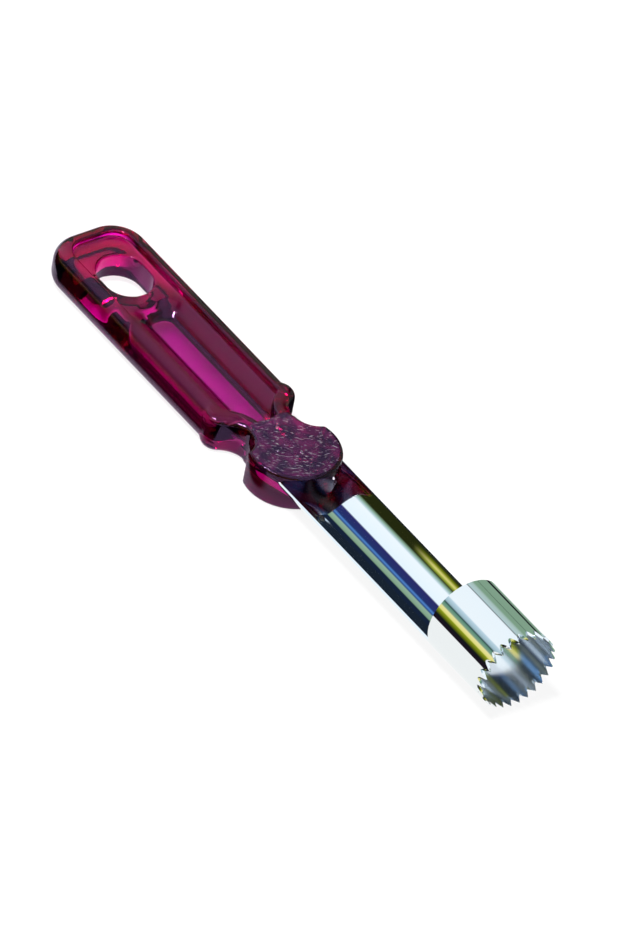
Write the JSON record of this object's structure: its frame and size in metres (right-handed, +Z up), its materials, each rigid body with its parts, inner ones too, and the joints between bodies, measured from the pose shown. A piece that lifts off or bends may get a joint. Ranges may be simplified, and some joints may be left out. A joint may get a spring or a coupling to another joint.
{
  "type": "apple corer",
  "caption": "Hand tool that cores apples: a clear moulded handle with a hang hole, and a steel blade that is a toothed ring with an open trough behind it.",
  "frame": {"origin": "middle of the overall length and width, on the plane that the handle's underside rests on", "axes": "+X from the butt of the handle towards the teeth, +Z up, out of the face with the open side of the trough, +Y across"},
  "size_m": [0.1902, 0.0264, 0.0238],
  "materials": {
    "handle_plastic": "clear tinted plastic, polished, with a stippled pad on the bolster",
    "blade_steel": "stainless steel sheet, mirror polished"
  },
  "bodies": {
    "root": {"handle": "handle_plastic", "blade": "blade_steel"}
  },
  "joints": []
}
